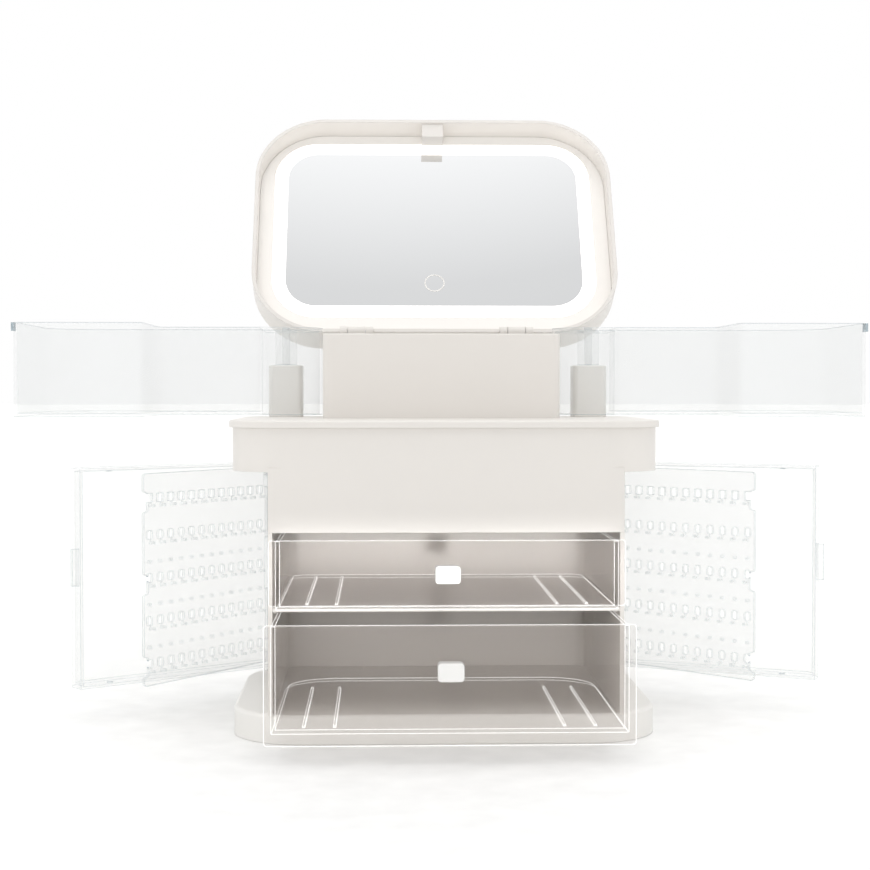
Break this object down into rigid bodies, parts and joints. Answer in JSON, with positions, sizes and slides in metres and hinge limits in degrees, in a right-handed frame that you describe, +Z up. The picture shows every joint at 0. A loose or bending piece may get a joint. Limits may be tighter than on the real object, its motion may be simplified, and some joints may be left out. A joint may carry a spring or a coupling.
{
  "type": "cosmetic case",
  "caption": "Vanity case with a lit mirror in its raised lid, swing-out clear trays, clear side doors with hook plates for jewellery, and clear drawers below.",
  "frame": {"origin": "middle of the flat underside of the base, flush with its rubber feet", "axes": "+Z up, +X to the right seen from the front, front faces -Y"},
  "size_m": [0.6166, 0.4279, 0.4736],
  "materials": {
    "grey_plastic": "blue-grey moulded plastic",
    "cream_plastic": "satin moulded plastic",
    "clear_plastic": "clear polished plastic",
    "white_plastic": "gloss white",
    "frosted_plastic": "frosted, lit from behind",
    "mirror": "silvered glass",
    "rubber": "soft grey rubber",
    "steel": "plain steel",
    "dark_plastic": "black",
    "foil": "foil pouch",
    "board_green": "solder mask"
  },
  "bodies": {
    "case": {"rubber_feet": "rubber", "bottom_plate": "cream_plastic", "bottom_screws": "steel", "base": "cream_plastic", "cabinet": "cream_plastic", "drawer_shelf": "cream_plastic", "deck": "cream_plastic", "deck_floor": "cream_plastic", "deck_screws": "steel", "central_box": "cream_plastic", "left_tray_post": "cream_plastic", "right_tray_post": "cream_plastic", "tray_pivot_pins": "clear_plastic", "door_rods": "steel", "lid_hinge_pins": "steel"},
    "left_tray": {"left_tray": "clear_plastic", "left_tray_catch": "grey_plastic"},
    "right_tray": {"right_tray": "clear_plastic", "right_tray_catch": "grey_plastic"},
    "left_door": {"left_door": "clear_plastic"},
    "right_door": {"right_door": "clear_plastic"},
    "left_hook_plate": {"left_hook_plate": "clear_plastic"},
    "right_hook_plate": {"right_hook_plate": "clear_plastic"},
    "upper_drawer": {"upper_drawer": "clear_plastic", "upper_drawer_pull": "white_plastic"},
    "lower_drawer": {"lower_drawer": "clear_plastic", "lower_drawer_pull": "white_plastic"},
    "lid": {"lid_shell": "cream_plastic", "lid_frame": "white_plastic", "light_diffuser": "frosted_plastic", "light_strip": "white_plastic", "mirror": "mirror", "touch_sensor": "dark_plastic", "battery": "foil", "control_board": "board_green", "charging_socket": "steel", "latch_housing": "cream_plastic", "latch_spring": "steel"},
    "latch": {"latch_button": "cream_plastic"}
  },
  "joints": [
    {"name": "lid_hinge", "type": "hinge", "parent": "case", "child": "lid", "pos_m": [0, 0.1075, 0.287], "axis": [1, 0, 0], "range_deg": [0, 120]},
    {"name": "left_tray_swing", "type": "hinge", "parent": "case", "child": "left_tray", "pos_m": [-0.1185, 0.08, 0.25], "axis": [0, 0, 1], "range_deg": [0, 90]},
    {"name": "right_tray_swing", "type": "hinge", "parent": "case", "child": "right_tray", "pos_m": [0.1185, 0.08, 0.25], "axis": [0, 0, -1], "range_deg": [0, 90]},
    {"name": "left_door_swing", "type": "hinge", "parent": "case", "child": "left_door", "pos_m": [-0.132, 0.086, 0.1], "axis": [0, 0, 1], "range_deg": [-37.5, 52.5]},
    {"name": "right_door_swing", "type": "hinge", "parent": "case", "child": "right_door", "pos_m": [0.132, 0.086, 0.1], "axis": [0, 0, -1], "range_deg": [-27, 63]},
    {"name": "left_hook_plate_swing", "type": "hinge", "parent": "case", "child": "left_hook_plate", "pos_m": [-0.132, 0.086, 0.1], "axis": [0, 0, 1], "range_deg": [-25.01, 35.01]},
    {"name": "right_hook_plate_swing", "type": "hinge", "parent": "case", "child": "right_hook_plate", "pos_m": [0.132, 0.086, 0.1], "axis": [0, 0, -1], "range_deg": [-18.01, 42.01]},
    {"name": "upper_drawer_slide", "type": "slide", "parent": "case", "child": "upper_drawer", "axis": [0, -1, 0], "range_m": [-0.012, 0.138]},
    {"name": "lower_drawer_slide", "type": "slide", "parent": "case", "child": "lower_drawer", "axis": [0, -1, 0], "range_m": [-0.063, 0.087]},
    {"name": "latch_press", "type": "slide", "parent": "lid", "child": "latch", "axis": [0, -0.5, -0.866], "range_m": [0, 0.0016], "stiffness_N_per_m": 400}
  ],
  "couplings": [
    {"joint": "left_hook_plate_swing", "follows": "left_door_swing", "ratio": 0.6667},
    {"joint": "right_hook_plate_swing", "follows": "right_door_swing", "ratio": 0.6667}
  ]
}
